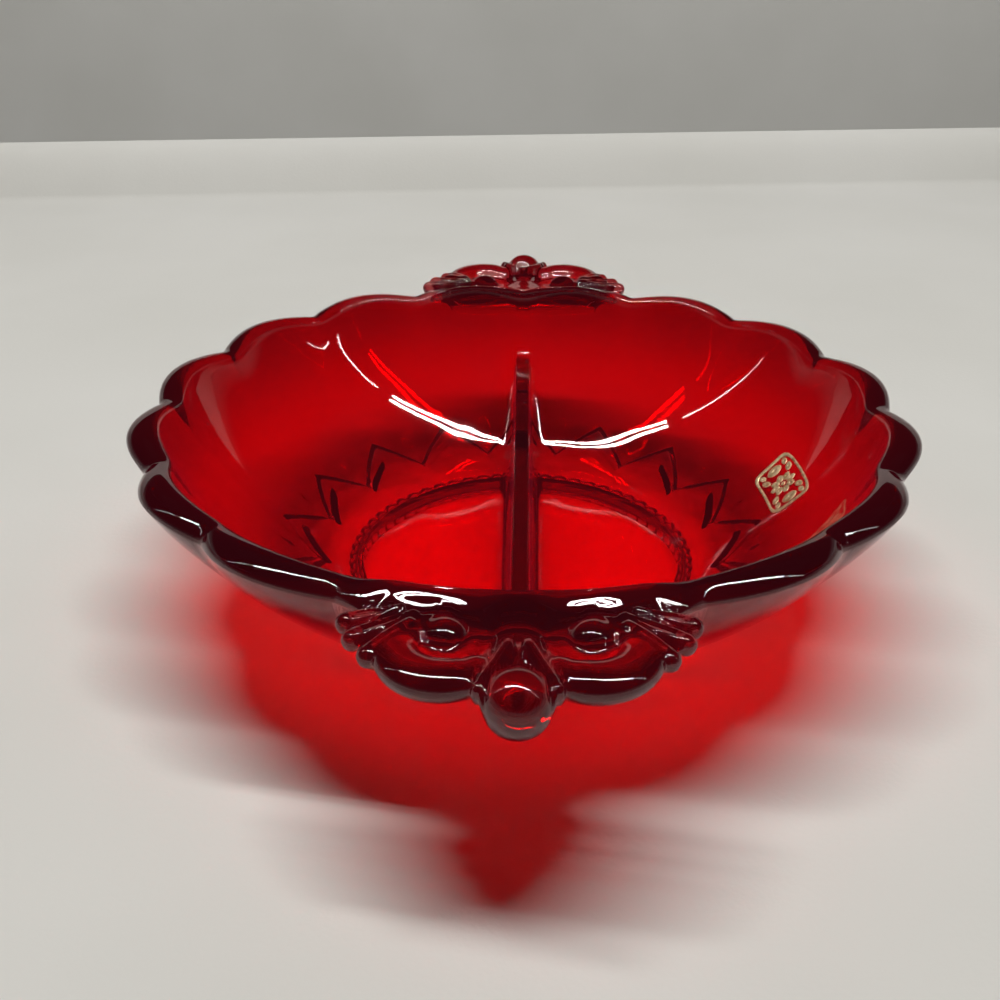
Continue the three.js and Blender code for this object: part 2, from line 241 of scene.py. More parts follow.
def inside_sheet():
    """The square grid (u, v) becomes a disc by x = u sqrt(1 - v^2 / 2), y = v sqrt(1 - u^2 / 2). Along the divider
    the lines are drawn back to even widths, and the divider's height is added."""
    u, v = np.meshgrid(across_lines, along_lines, indexing="ij")
    flat_x = u * np.sqrt(1 - v**2 / 2)
    flat_y = v * np.sqrt(1 - u**2 / 2)
    reach = np.hypot(flat_x, flat_y)
    turn = np.arctan2(flat_x, -flat_y)
    radius, height = inside_at(reach, turn)
    x, y = radius * np.sin(turn), -radius * np.cos(turn)
    near_middle = 1 - ease(np.abs(u), zone, STRAIGHT_ZONES * zone)
    straight = near_middle * (1 - ease(np.abs(y), DIVIDER_MEETS, STRAIGHT_END))
    x = mix(x, u * SHEET_SCALE, straight)
    beyond = np.clip((np.abs(y) - DIVIDER_MEETS + DIVIDER_END_RUN) / DIVIDER_END_RUN, 0.0, None)
    gap = DIVIDER_TOP + DIVIDER_END_RISE * beyond**2 - height
    gap = np.where(beyond > LIFT_END, NO_LIFT, gap)
    lift = (gap + np.sqrt(gap**2 + LIFT_SOFT)) / 2
    height = height + lift * line_heights[:, None]
    return np.stack([x, y, height], -1)


inside = inside_sheet()
print("inside sheet:", inside.shape, "highest", round(float(inside[..., 2].max()), 2))

# %% Numbers of the sheet's edge points, in order round the rim
n_across, n_along = len(across_lines), len(along_lines)
sheet_number = np.arange(n_across * n_along).reshape(n_across, n_along)
rim_number = np.concatenate([
    sheet_number[:-1, 0],
    sheet_number[-1, :-1],
    sheet_number[:0:-1, -1],
    sheet_number[0, :0:-1],
])
edge = inside.reshape(-1, 3)[rim_number]
turn = np.arctan2(edge[:, 0], -edge[:, 1])
HALF_TURN = np.pi
back = np.abs(turn) > HALF_TURN / 2
local = np.where(back, np.mod(turn + 2 * HALF_TURN, 2 * HALF_TURN) - HALF_TURN, turn)
across_rank = np.abs(np.arange(n_across) - n_across // 2)
side_rank = np.full(n_along - 1, n_across)
rank = np.concatenate([across_rank[:-1], side_rank, across_rank[:0:-1], side_rank])
print("spokes round the rim:", len(turn))

# %% [markdown]
# The handles.
# Each handle is a flat piece of press work: two C-scrolls round a knob, a spray of three leaves on each side, a rib
# down the middle, and a calyx that holds a bead. The mould is cut from above, so every member is a rounded ridge that
# can be drawn as heights over a plan. Each member below is a distance in plan with a radius. Its top is a half round,
# and neighbours join through a soft maximum, as fire polishing leaves them.

# %% Rounded members and their joins
STEEP_FALL = 4.0
SLAB_EDGE = 1.4


def soft_max(a, b, reach):
    """The larger of two heights, with a round hollow where they come within reach of each other."""
    near_each = np.maximum(reach - np.abs(a - b), 0.0) / reach
    return np.maximum(a, b) + near_each**2 * reach / 4


def soft_min(a, b, reach):
    """The smaller of two heights, rounded in the same way."""
    return -soft_max(-a, -b, reach)


def dome(gap, radius, rise=None):
    """Half the height of a round member at a distance from its edge: an ellipse inside, a steep fall outside."""
    rise = radius if rise is None else rise
    inside_part = rise * np.sqrt(np.clip(1 - (1 + gap / radius) ** 2, 0.0, None))
    return np.where(gap < 0, inside_part, -STEEP_FALL * gap)


def slab(gap, under, top):
    """Half the height of a flat member with a rounded edge, and a steep fall outside."""
    to_edge = (1 + np.minimum(gap, 0.0) / SLAB_EDGE).clip(0.0, None)
    inside_part = (top - under) / 2 * np.sqrt(np.clip(1 - to_edge**2, 0.0, None))
    return np.where(gap < 0, inside_part, -STEEP_FALL * gap)


def from_line(x, v, start, end):
    """Distance in plan from a straight line between two points, and the share of the way along it."""
    dx, dv = end[0] - start[0], end[1] - start[1]
    share = np.clip(((x - start[0]) * dx + (v - start[1]) * dv) / (dx * dx + dv * dv), 0.0, 1.0)
    return np.hypot(x - start[0] - share * dx, v - start[1] - share * dv), share


def bar(x, v, start, end, radius):
    """Distance in plan from the edge of a straight bar with round ends."""
    return from_line(x, v, start, end)[0] - radius


def disc(x, v, place, radius):
    """Distance in plan from the edge of a disc."""
    return np.hypot(x - place[0], v - place[1]) - radius


print("two equal heights join higher by a share of", soft_max(0.0, 0.0, 1.0))

# %% Scrolls: a bar along part of an ellipse
SCROLL_EYE = (10.0, 80.8)
SCROLL_REACH = (7.0, 6.9)
SCROLL_TURN = (130.0, -80.0)
SCROLL_DRAWN = 0.17
SCROLL_SIZE = (3.6, 2.3)
SCROLL_TAPER = 0.6
SCROLL_MIDDLE = 38.6
SCROLL_RISE = (0.64, 0.8)
SCROLL_SOFT = 1.0


def scroll_line(steps=36):
    """The C of a scroll: part of an ellipse from the bead outwards and round to the knob, drawn in at its end. Its
    radius swells at the start and tapers towards the end."""
    share = np.linspace(0.0, 1.0, steps)
    angle = np.radians(mix(*SCROLL_TURN, share))
    draw = 1 - SCROLL_DRAWN * ease(share, 0.55, 1.0)
    line = np.stack([
        SCROLL_EYE[0] + SCROLL_REACH[0] * draw * np.cos(angle),
        SCROLL_EYE[1] + SCROLL_REACH[1] * draw * np.sin(angle),
    ], 1)
    return line, mix(*SCROLL_SIZE, ease(share, 0.3, 1.0)) - SCROLL_TAPER * ease(-share, -0.2, 0.0)


SCROLL, SCROLL_RADIUS = scroll_line()


def scroll_member(x, v):
    """A scroll: the nearest of the short bars along its line, flatter above than below."""
    best, radius = np.full(np.shape(x), 1e9), np.ones(np.shape(x))
    for start, end, size in zip(SCROLL[:-1], SCROLL[1:], SCROLL_RADIUS):
        gap = bar(x, v, start, end, size)
        radius = np.where(gap < best, size, radius)
        best = np.minimum(best, gap)
    above, below = (dome(best, radius, rise * radius) for rise in SCROLL_RISE)
    return best, SCROLL_MIDDLE, above, below, SCROLL_SOFT


print("points along a scroll:", len(SCROLL))

# %% Plates, leaves, rib and calyx
PLATE_UNDER = 35.4
PLATE_SOFT = 1.0
LEAF_LINES = (((16.8, 73.8), (24.4, 75.1)), ((14.8, 75.2), (23.0, 79.0)), ((15.2, 77.4), (20.4, 82.7)))
LEAF_RADIUS = (1.1, 1.65)
LEAF_HEIGHT = (39.9, 38.4)
LEAF_HOLLOW = 0.5
LEAF_DISHED = 0.65
LEAF_SOFT = 0.5
RIB_LINE = ((0.0, 72.0), (0.0, 85.0))
RIB_HALF = (6.5, 3.6)
RIB_MIDDLE = 37.5
RIB_RISE = (2.6, 1.9)
RIB_SOFT = 1.6
CALYX_LINE = ((1.3, 83.2), (5.1, 91.1))
CALYX_RADIUS = 1.1
CALYX_HEIGHT = (40.9, 39.6)
CALYX_DEEPER = 1.0
CALYX_SOFT = 0.3


def plate_member(gap, top, hollow=0.0):
    """A flat plate from the handle's underside to a top, which may be hollowed."""
    half = slab(gap, PLATE_UNDER, top)
    return gap, (PLATE_UNDER + top) / 2, half - hollow, half, PLATE_SOFT


def leaf_member(x, v, line):
    """A leaf: a round bar that swells from its root to a blunt tip, dished a little along its top."""
    far_off, share = from_line(x, v, *line)
    radius = mix(*LEAF_RADIUS, ease(share, 0.0, 1.0))
    half = dome(far_off - radius, radius)
    dish = np.clip(1 - (far_off / radius / LEAF_DISHED) ** 2, 0.0, None) ** 2
    dish = dish * ease(share, 0.1, 0.3) * ease(-share, -1.0, -0.8)
    return far_off - radius, mix(*LEAF_HEIGHT, share), half - LEAF_HOLLOW * dish, half, LEAF_SOFT


def rib_member(x, v):
    """The rib down the middle: a low round bar, narrower towards the bead."""
    far_off, share = from_line(x, v, *RIB_LINE)
    half = mix(*RIB_HALF, ease(share, 0.0, 0.5))
    above, below = (dome(far_off - half, half, rise) for rise in RIB_RISE)
    return far_off - half, RIB_MIDDLE, above, below, RIB_SOFT


def calyx_member(x, v):
    """A leaf of the calyx: a thin round bar that falls towards the bead, and reaches deeper below."""
    far_off, share = from_line(x, v, *CALYX_LINE)
    gap = far_off - CALYX_RADIUS
    half = dome(gap, CALYX_RADIUS)
    return gap, mix(*CALYX_HEIGHT, share), half, half + CALYX_DEEPER, CALYX_SOFT


print("leaves on each side:", len(LEAF_LINES))

# %% All members of a handle
PAD_TOP = 38.9
SPRAY_TOP = 38.3
SPRAY_DISC = ((13.0, 77.5), 8.6)
SPRAY_BAR = ((15.0, 72.6), (23.4, 73.2), 1.7)
EYE_DISC = ((10.0, 81.5), 8.2)
WEB_BAR = ((0.0, 73.0), (16.0, 72.0), 4.6)
STEM_BAR = ((0.0, 74.0), (0.0, 86.5), 4.6)
RECESS_DEPTH = 0.4
CRESCENT_RADIUS = 5.0
CRESCENT_EDGE = (-2.6, -1.6)
CRESCENT_FROM = (77.0, 79.5)
# Place in plan, middle height, radius, rise above the middle, and softness of a ball.
KNOB = ((10.2, 77.9), 38.6, 3.2, 2.4, 1.2)
BEAD = ((0.0, 91.3), 37.6, 4.8, 4.8, 0.5)


def ball_member(x, v, place, middle, radius, rise, soft):
    """A knob or a bead: a ball, flatter above where its rise is less than its radius."""
    gap = disc(x, v, place, radius)
    return gap, middle, dome(gap, radius, rise), dome(gap, radius), soft


def crescent(x, v):
    """1 in the thin crescent outside a knob and 0 away from it: part of a ring round the knob."""
    from_ring = np.abs(disc(x, v, KNOB[0], CRESCENT_RADIUS))
    return ease(-from_ring, *CRESCENT_EDGE) * ease(v, *CRESCENT_FROM)


def handle_members(x, v):
    """Every member as (edge distance in plan, middle height, half height above, half height below, softness)."""
    x = np.abs(x)
    spray = np.minimum(disc(x, v, *SPRAY_DISC), bar(x, v, *SPRAY_BAR))
    pad = np.minimum(np.minimum(disc(x, v, *EYE_DISC), bar(x, v, *WEB_BAR)), bar(x, v, *STEM_BAR))
    return [
        plate_member(spray, SPRAY_TOP),
        plate_member(pad, PAD_TOP, RECESS_DEPTH * crescent(x, v)),
        *(leaf_member(x, v, line) for line in LEAF_LINES),
        scroll_member(x, v),
        ball_member(x, v, *KNOB),
        rib_member(x, v),
        calyx_member(x, v),
        ball_member(x, v, *BEAD),
    ]


print("members of a handle:", len(handle_members(np.zeros(1), np.full(1, KNOB[0][1]))))

# %% [markdown]
# The lip.
# The rim is rounded over like a rolled edge. In section it is half an ellipse on top of the wall. Where a handle
# grows out, the outer half falls in an even slope instead, so the rim runs down onto the handle in one sweep.

# %% The lip in section at any turn
LIP_FALL = 0.43
LIP_SHOULDER = 0.25
LIP_BEND = 0.026
LIP_CREST = 0.6
LIP_STEEP = 20.0
MIDDLE_RAISE = 0.3
MIDDLE_REACH = np.radians(9.0)
HANDLE_RIM = np.radians([15.0, 21.0])


def lip_section(turn, local):
    """Crest radius, middle height, outer height, outer width and crown of the lip. Over a handle the crest lies
    close to the inner edge."""
    outer_r, outer_z = outer_wall(1.0, turn)
    inner_r, inner_z = inside_at(1.0, turn)
    crest_r = mix(inner_r + LIP_CREST, (outer_r + inner_r) / 2, ease(np.abs(local), *HANDLE_RIM))
    middle_z = (outer_z + inner_z) / 2
    raised = lobe(turn) + MIDDLE_RAISE * ease(-np.abs(local), -MIDDLE_REACH, 0.0)
    crown = RIM_HEIGHT - CREASE_DROP + CREASE_DROP * raised - middle_z
    return crest_r, middle_z, outer_z, outer_r - crest_r, crown


def lip_inner_half(steps=8):
    """Rows from the sheet's edge up to the crown: the quarter of the ellipse on the inner side."""
    crest_r, middle_z, _, _, crown = lip_section(turn, local)
    inner_r, inner_z = inside_at(1.0, turn)
    sweep = np.linspace(0.0, np.pi / 2, steps + 1)[1:, None]
    radius = crest_r + (inner_r - crest_r) * np.cos(sweep)
    height = middle_z + (inner_z - middle_z) * np.cos(sweep) + crown * np.sin(sweep)
    return radius, height


def lip_height(radius, turn, local):
    """Height of the lip's outer half over the plan, and the distance past its edge."""
    crest_r, middle_z, outer_z, width, crown = lip_section(turn, local)
    out = np.clip((radius - crest_r) / width, 0.0, None)
    arch = middle_z + (outer_z - middle_z) * out + crown * np.sqrt(np.clip(1 - out**2, 0.0, None))
    past = np.maximum(radius - crest_r, 0.0)
    slope = middle_z + crown - LIP_FALL * (np.hypot(past, LIP_SHOULDER) - LIP_SHOULDER) - LIP_BEND * past**2
    arch = mix(slope, arch, ease(np.abs(local), *HANDLE_RIM))
    return np.where(out < 1, arch, outer_z - LIP_STEEP * (out - 1)), radius - crest_r - width


lip_r, lip_z = lip_inner_half()
print("lip crest", round(float(lip_z.max()), 2))

# %% [markdown]
# The spokes over the handle.
# From the crest of the lip, each spoke runs out over the top of the handle to its edge and back underneath to the
# wall. Away from the handles the same spoke only rounds the lip. The spokes aim at a guide curve just outside the
# handle, which spreads them evenly over its edge, and they bend on the way, so that they run along the leaves instead
# of across them. The edge is found on each spoke as the first point that no member covers.

# %% Where the spokes run
GUIDE_RANK = (0, 9, 18, 27, 36, 46, 59, 73, 84)
GUIDE_X = (0.0, 5.2, 10.5, 15.0, 19.4, 23.6, 27.6, 29.3, 29.0)
GUIDE_V = (99.0, 98.4, 96.4, 93.0, 89.6, 86.0, 81.2, 76.2, 72.8)
BEND_X = (0.0, 3.7, 7.8, 11.2, 13.2, 14.4, 15.0, 17.3, 23.0)
BEND_V = (84.4, 84.1, 83.1, 81.3, 79.2, 76.8, 75.6, 73.0, 70.2)
BEND_FADE = np.radians([14.8, 17.5])
GUIDE_RADIUS = 80.0
GUIDE_FADE = np.radians([15.0, 30.0])


def spoke_plan():
    """Start of each spoke on the crest, the point it bends towards, and its aim on the guide, each as x and v."""
    out = np.stack([np.sin(local), np.cos(local)])
    start, side = lip_r[-1] * out, np.sign(local)
    guide, bend = (
        np.stack([np.interp(rank, GUIDE_RANK, table_x) * side, np.interp(rank, GUIDE_RANK, table_v)])
        for table_x, table_v in ((GUIDE_X, GUIDE_V), (BEND_X, BEND_V))
    )
    aim = mix(guide, GUIDE_RADIUS * out, ease(np.abs(local), *GUIDE_FADE))
    bend = mix(bend, (start + aim) / 2, ease(np.abs(local), *BEND_FADE))
    return (part[:, None, :] for part in (start, bend, aim))


spoke_start, spoke_bend, spoke_aim = spoke_plan()


def along_spoke(t):
    """A quadratic Bezier curve: from the start, towards the bend, to the aim."""
    return spoke_start * (1 - t) ** 2 + spoke_bend * 2 * t * (1 - t) + spoke_aim * t**2


print("spokes that aim past a handle:", int((np.abs(local) < GUIDE_FADE[0]).sum()))


# %% Where each spoke leaves the handle
def plan_turn(x, v):
    """Radius, turn round the bowl and turn from the handle's middle, of a point in a handle's own plan."""
    offset = np.arctan2(x, v)
    return np.hypot(x, v), np.where(back, offset + HALF_TURN, offset), offset


def edge_distance(x, v):
    """Distance in plan to the edge of everything, the lip included. Negative inside."""
    least = lip_height(*plan_turn(x, v))[1]
    for member in handle_members(x, v):
        least = np.minimum(least, member[0])
    return least


def spoke_ends(steps=420):
    """Share of each spoke at its first crossing of the edge, between two close samples."""
    t = np.repeat(np.linspace(0.0, 1.0, steps)[:, None], len(turn), 1)
    gap = edge_distance(*along_spoke(t))
    first = np.argmax(gap > 0, axis=0)
    columns = np.arange(len(turn))
    here, there = gap[first - 1, columns], gap[first, columns]
    return mix(t[first - 1, columns], t[first, columns], here / (here - there))


spoke_end = spoke_ends()
print("spokes end at shares from", spoke_end.min().round(2), "to", spoke_end.max().round(2))

# %% Rows over the top and back underneath
ABOVE_ALL = 60.0
UNDER_LIMIT = 38.4
UNDER_SHARE = 0.9
UNDER_FILLET = 4.5
UNDER_CROWD = 1.6
LEAST_SLANT = 0.2
HANDLED_PAST = (0.3, 3.0)


def top_height(x, v):
    """Soft maximum of the lip and the tops of the members."""
    height = lip_height(*plan_turn(x, v))[0]
    for _, middle, above, _, soft in handle_members(x, v):
        height = soft_max(height, middle + above, soft)
    return height


def under_height(x, v):
    """Soft minimum of the undersides of the members."""
    height = np.full(np.shape(x), ABOVE_ALL)
    for _, middle, _, below, soft in handle_members(x, v):
        height = soft_min(height, middle - below, soft)
    return height


def handle_share(x, v):
    """1 on spokes that end on a handle and 0 on those that only round the lip, by how far they end past the lip."""
    crest_r, _, _, width, _ = lip_section(turn, local)
    reach_x, reach_v = x - spoke_start[0, 0], v - spoke_start[1, 0]
    slant = np.cos(np.arctan2(reach_x, reach_v) - local)
    lip_only = (crest_r + width - lip_r[-1]) / np.maximum(slant, LEAST_SLANT)
    return ease(np.hypot(reach_x, reach_v) - lip_only, *HANDLED_PAST)


def under_rows(edge_x, edge_v, handled, steps=14):
    """Rows back along the underside to the wall, which they meet in a hollow. Away from the handles they only run
    down the wall."""
    w = np.linspace(0.0, 1.0, steps + 1)[1:, None]
    wall_r, wall_z = outer_wall(UNDER_SHARE, turn)
    wall_x, wall_v = wall_r * np.sin(local), wall_r * np.cos(local)
    x, v = mix(edge_x, wall_x, w**UNDER_CROWD), mix(edge_v, wall_v, w**UNDER_CROWD)
    hollow = np.clip(1 - np.hypot(x - wall_x, v - wall_v) / UNDER_FILLET, 0.0, 1.0) ** 2
    z = mix(np.minimum(under_height(x, v), UNDER_LIMIT), wall_z, hollow)
    plain_r, plain_z = outer_wall(mix(1.0, UNDER_SHARE, w), turn[None, :])
    plain = (plain_r * np.sin(local), plain_r * np.cos(local), plain_z)
    return [mix(a, b, handled) for a, b in zip(plain, (x, v, z))]


def spoke_rows(steps=36):
    """Rows along the top, closest together at the edge, and the rows underneath. They meet at half the height of
    the handle's edge."""
    w = np.linspace(0.0, 1.0, steps + 1)[1:, None]
    x, v = along_spoke(spoke_end * (1 - (1 - w) ** 2))
    z = top_height(x, v)
    handled = handle_share(x[-1], v[-1])
    z[-1] = mix(z[-1], (z[-1] + under_height(x[-1], v[-1])) / 2, handled)
    return (np.concatenate(rows) for rows in zip((x, v, z), under_rows(x[-1], v[-1], handled)))


spoke_x, spoke_v, spoke_z = spoke_rows()
print("handle reaches", round(float(np.hypot(spoke_x, spoke_v).max()), 2), "mm from the axis")

# %% [markdown]
# The outside and the foot.
# Low on the outside a sunk band zigzags round the bowl: it leaves pointed petals with their tips under the lobes, and
# a short vein in each. It shows through the glass as dark strokes. The rows of the grid follow the band's own edges,
# so the strokes stay sharp. Below it the wall turns under to a notched ring, on which the dish stands.

# %% Rows of the outer wall, with the band of petals
PETAL_TIP = 2.8
PETAL_VALLEY = 8.8
BAND_AT_TIP = 4.0
BAND_AT_VALLEY = 7.7
BAND_SWELL = 0.85
BAND_DEPTH = 1.8
LOWER_BEVEL = 2.6
UPPER_BEVEL = 2.1
VEIN_MIDDLE = 13.9
VEIN_HALF = (1.6, 0.9)
VEIN_DEPTH = 0.45
VEIN_RADIUS = 50.0
WALL_CROWD = 0.8


def zigzag(turn):
    """0 under the middle of a lobe, 1 under a crease, straight in between."""
    return np.abs(1 - 2 * np.mod(LOBES * turn / (2 * np.pi), 1.0))


def wall_rows(above_steps=24, band_steps=5, below_steps=6):
    """Rows from the handle's root down to the foot. Their distance up the wall follows the band's two edges."""
    peak = zigzag(turn)
    lower = mix(PETAL_TIP, PETAL_VALLEY, peak)
    upper = lower + mix(BAND_AT_TIP, BAND_AT_VALLEY, peak**BAND_SWELL)
    falling = np.linspace(0.0, 1.0, above_steps + 1)[1:-1, None] ** WALL_CROWD
    bevel = np.array([0.0, 0.2, 0.4, 0.6, 0.8, 1.0])[:, None]
    bed = np.linspace(0.0, 1.0, band_steps + 1)[1:-1, None]
    run = np.concatenate([
        mix(UNDER_SHARE * WALL_LENGTH, upper, falling),
        upper - UPPER_BEVEL * bevel,
        mix(upper - UPPER_BEVEL, lower + LOWER_BEVEL, bed),
        lower + LOWER_BEVEL * (1 - bevel),
        mix(lower, 0.0, np.linspace(0.0, 1.0, below_steps + 1)[1:, None]),
    ])
    groove = BAND_DEPTH * ease(upper - run, 0.0, UPPER_BEVEL) * ease(run - lower, 0.0, LOWER_BEVEL)
    half_long, half_wide = VEIN_HALF
    across = peak * np.pi / LOBES * VEIN_RADIUS
    vein = np.exp(-((across / half_wide) ** 2)) * np.exp(-(((run - VEIN_MIDDLE) / half_long) ** 4))
    return outer_wall(run / WALL_LENGTH, turn, -groove - VEIN_DEPTH * vein)


wall_rows_r, wall_rows_z = wall_rows()
print("rows of the wall:", len(wall_rows_r))

# %% Rows of the foot and the underside
FOOT_RADIUS = 36.4
FOOT_WIDTH = 1.9
FOOT_NOTCHES = 60
NOTCH_DEPTH = 0.9
# Distance from the foot's outer radius, height, and share of the notch's depth.
FOOT_OUTSIDE = (
    (1.2, 2.44, 0.0), (0.5, 2.34, 0.1), (0.15, 2.15, 0.4), (0.0, 1.9, 0.8), (0.0, 1.5, 1.0), (0.0, 0.9, 1.0),
    (-0.04, 0.5, 1.0), (-0.16, 0.22, 0.9), (-0.4, 0.06, 0.7), (-0.75, 0.0, 0.4),
)
# Distance from its inner radius, and height.
FOOT_INSIDE = (
    (1.0, 0.0), (0.5, 0.0), (0.2, 0.08), (0.05, 0.25), (0.0, 0.5), (-0.05, 1.1), (-0.2, 1.8), (-0.45, 2.5),
    (-0.75, 2.93), (-1.1, FLOOR_UNDER),
)
UNDERSIDE_RADII = (22.0, 10.0, 3.0)


def foot_rows():
    """Rows from the wall under to the ring, round the ring, and in along the underside of the floor."""
    notch = NOTCH_DEPTH * (1 - np.abs(np.sin(FOOT_NOTCHES * turn / 2)))
    rows = np.array([(FOOT_RADIUS + r, z, share) for r, z, share in FOOT_OUTSIDE]
                    + [(FOOT_RADIUS - FOOT_WIDTH + r, z, 0.0) for r, z in FOOT_INSIDE]
                    + [(r, FLOOR_UNDER, 0.0) for r in UNDERSIDE_RADII])
    radius = rows[:, :1] - notch * rows[:, 2:]
    return radius, np.repeat(rows[:, 1:2], len(turn), 1)


foot_r, foot_z = foot_rows()
print("rows of the foot:", len(foot_r))

# %% [markdown]
# One closed skin.
# The sheet, the lip, the spokes, the wall and the foot share the same points round the rim, so they join without a
# seam, and a fan closes the middle underneath. The rim, the handles and the divider get a painted shade, for the
# darkness that thick glass and light bent away give them. How dark it is painted is kept on each point, for the
# material to read.


# %% From rows of points to a mesh
def turned(radius, height):
    """Rows of radius and height on each spoke, as points round the axis."""
    return np.stack([radius * np.sin(turn), -radius * np.cos(turn), height], -1)


def handle_points(x, v, z):
    """Rows in the handles' own plans, as points of the dish: the back handle is the front one turned half round."""
    facing = np.where(back, -1.0, 1.0)
    return np.stack([x * facing, -v * facing, z], -1)


def grid_quads(number):
    """Corners of the squares between neighbouring points of a grid, from the points' numbers."""
    corners = (number[:-1, :-1], number[1:, :-1], number[1:, 1:], number[:-1, 1:])
    return np.stack(corners, -1).reshape(-1, 4)


def make_mesh(name, points, quads, triangles=None):
    """A mesh object from arrays of corners, with smooth faces, sized from millimetres to metres."""
    faces = [quads] if triangles is None else [quads, triangles]
    loops = np.concatenate([f.ravel() for f in faces])
    sizes = np.concatenate([np.full(len(f), f.shape[1]) for f in faces])
    starts = np.concatenate([[0], np.cumsum(sizes)[:-1]])
    mesh = bpy.data.meshes.new(name)
    mesh.vertices.add(len(points))
    mesh.vertices.foreach_set("co", (points * MM).ravel())
    mesh.loops.add(len(loops))
    mesh.loops.foreach_set("vertex_index", loops.astype(np.int32))
    mesh.polygons.add(len(sizes))
    mesh.polygons.foreach_set("loop_start", starts.astype(np.int32))
    mesh.polygons.foreach_set("loop_total", sizes.astype(np.int32))
    mesh.polygons.foreach_set("use_smooth", np.ones(len(sizes), dtype=bool))
    mesh.update(calc_edges=True)
    mesh.validate()
    piece = bpy.data.objects.new(name, mesh)
    bpy.context.scene.collection.objects.link(piece)
    return piece


rings = np.concatenate([
    turned(lip_r, lip_z),
    handle_points(spoke_x, spoke_v, spoke_z),
    turned(wall_rows_r, wall_rows_z),
    turned(foot_r, foot_z),
])
print("rings below the sheet's edge:", len(rings))

# %% The glass skin and its painted shade
# Where the painted shade rises: out towards the rim, and up the divider near the middle.
PAINTED_SHADE_FROM = (60.0, 76.0)
PAINTED_SHADE_HEIGHT = (6.8, 8.6)
PAINTED_SHADE_REACH = (-60.0, -46.0)
CRESCENT_SLANT = 2.4
CRESCENT_UNDER = PAD_TOP - 1.5


def painted_shade_depth(points):
    """0 where the glass is clear and 1 where its painted shade is darkest: it rises towards the rim and up the
    divider, and stays at 0 in the crescents, which slant inwards from the top of the handle to its underside."""
    x, y = np.abs(points[:, 0]), np.abs(points[:, 1])
    radius, height = np.hypot(x, y), points[:, 2]
    clear = crescent(x, y + CRESCENT_SLANT * (height < CRESCENT_UNDER))
    depth = ease(radius, *PAINTED_SHADE_FROM) * (1 - clear)
    return np.maximum(depth, ease(height, *PAINTED_SHADE_HEIGHT) * ease(-radius, *PAINTED_SHADE_REACH))


def glass_skin():
    """The sheet's squares, then rings of quads that start at the sheet's edge, and a fan to the middle underneath."""
    sheet = inside.reshape(-1, 3)
    points = np.concatenate([sheet, rings.reshape(-1, 3), [[0.0, 0.0, FLOOR_UNDER]]])
    ring_number = len(sheet) + np.arange(rings.shape[0] * rings.shape[1]).reshape(rings.shape[:2])
    ring_number = np.concatenate([rim_number[None, :], ring_number])
    following = np.roll(ring_number, -1, axis=1)
    ring_quads = np.stack([ring_number[:-1], ring_number[1:], following[1:], following[:-1]], -1).reshape(-1, 4)
    fan = np.stack([ring_number[-1], np.full(len(turn), len(points) - 1), following[-1]], -1)
    skin = make_mesh("ruby_dish", points, np.concatenate([grid_quads(sheet_number), ring_quads]), fan)
    # The depth of the painted shade on each point, for the material to read.
    skin.data.attributes.new("painted_shade", "FLOAT", "POINT").data.foreach_set("value", painted_shade_depth(points))
    return skin


dish = glass_skin()
print("glass skin:", len(dish.data.polygons), "faces")

# %% Frame bindings of the glass
GLASS_NODES = [
    "bowl_wall", "floor_disc", "foot_ring", "divider",
    "front_handle", "back_handle", "front_bead", "back_bead",
]
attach(dish, "root")
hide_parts(*GLASS_NODES)
print("nodes drawn by the glass skin:", len(GLASS_NODES))

# %% [markdown]
# The gold label.
# Inside the right wall the real dish carries a small gold print. It is drawn here as a plain ornament: a frame, a
# rosette and leaf sprays, each a thin island of foil that follows the curve of the glass. Cutting the islands as real
# shapes keeps their edges crisp from any distance, and lets the red glass show between them.

# %% Flat places wrapped onto the inner wall
LABEL_SIZE = (17.0, 10.0)
LABEL_TURN = np.radians(95.0)
LABEL_RADIUS = 55.4
FOIL_BACK = 0.05
FOIL_FRONT = 0.13
FOIL_EDGE = 0.97
FOIL_CENTRE = 0.02


def on_inner_wall(across, up, lift):
    """Flat label places in millimetres, wrapped onto the inner wall and raised from it by lift."""
    middle_share = np.interp(LABEL_RADIUS, IN_R, IN_SHARE)
    share = middle_share + up / SHEET_SCALE
    round_turn = LABEL_TURN + across / LABEL_RADIUS
    radius, height = inside_at(share, round_turn)
    slope = np.interp(share, IN_SHARE, IN_SLOPE)
    radius, height = radius - np.sin(slope) * lift, height + np.cos(slope) * lift
    return np.stack([radius * np.sin(round_turn), -radius * np.cos(round_turn), height], -1)


def foil_ring(across, up, inner):
    """A closed island from an outline: rings of points from inner times the outline out to it on the front, and back
    again behind. With inner at 0 the island is a filled leaf, and otherwise it is a frame."""
    between = mix(inner, 1.0, 0.5)
    scale = np.maximum([inner, between, FOIL_EDGE, 1.0, FOIL_EDGE, between, inner], FOIL_CENTRE)
    lift = np.repeat([FOIL_FRONT, mix(FOIL_BACK, FOIL_FRONT, 0.5), FOIL_BACK], (3, 1, 3))
    centre_a, centre_u = across.mean(), up.mean()
    a = centre_a + scale[:, None] * (across - centre_a)
    u = centre_u + scale[:, None] * (up - centre_u)
    number = np.arange(a.size).reshape(a.shape)
    following = np.roll(number, -1, 1)
    corners = (number, following, np.roll(following, -1, 0), np.roll(number, -1, 0))
    quads = np.stack(corners, -1).reshape(-1, 4)
    return on_inner_wall(a, u, lift[:, None]).reshape(-1, 3), quads, np.stack([a, u], -1).reshape(-1, 2)


print("label middle:", on_inner_wall(0.0, 0.0, FOIL_BACK).round(1), "mm")

# %% Outlines of the islands
TIP_DRAWN = 0.35
CORNER_POWER = 1 / 3
FRAME_INNER = 0.87
PETAL_COUNT = 8
PETAL_REACH = 2.05
PETAL_SIZE = (2.4, 1.75)
BOSS_SIZE = (1.1, 1.3)
LOZENGE_ASIDE = 5.6
LOZENGE_SIZE = (3.8, 3.0)
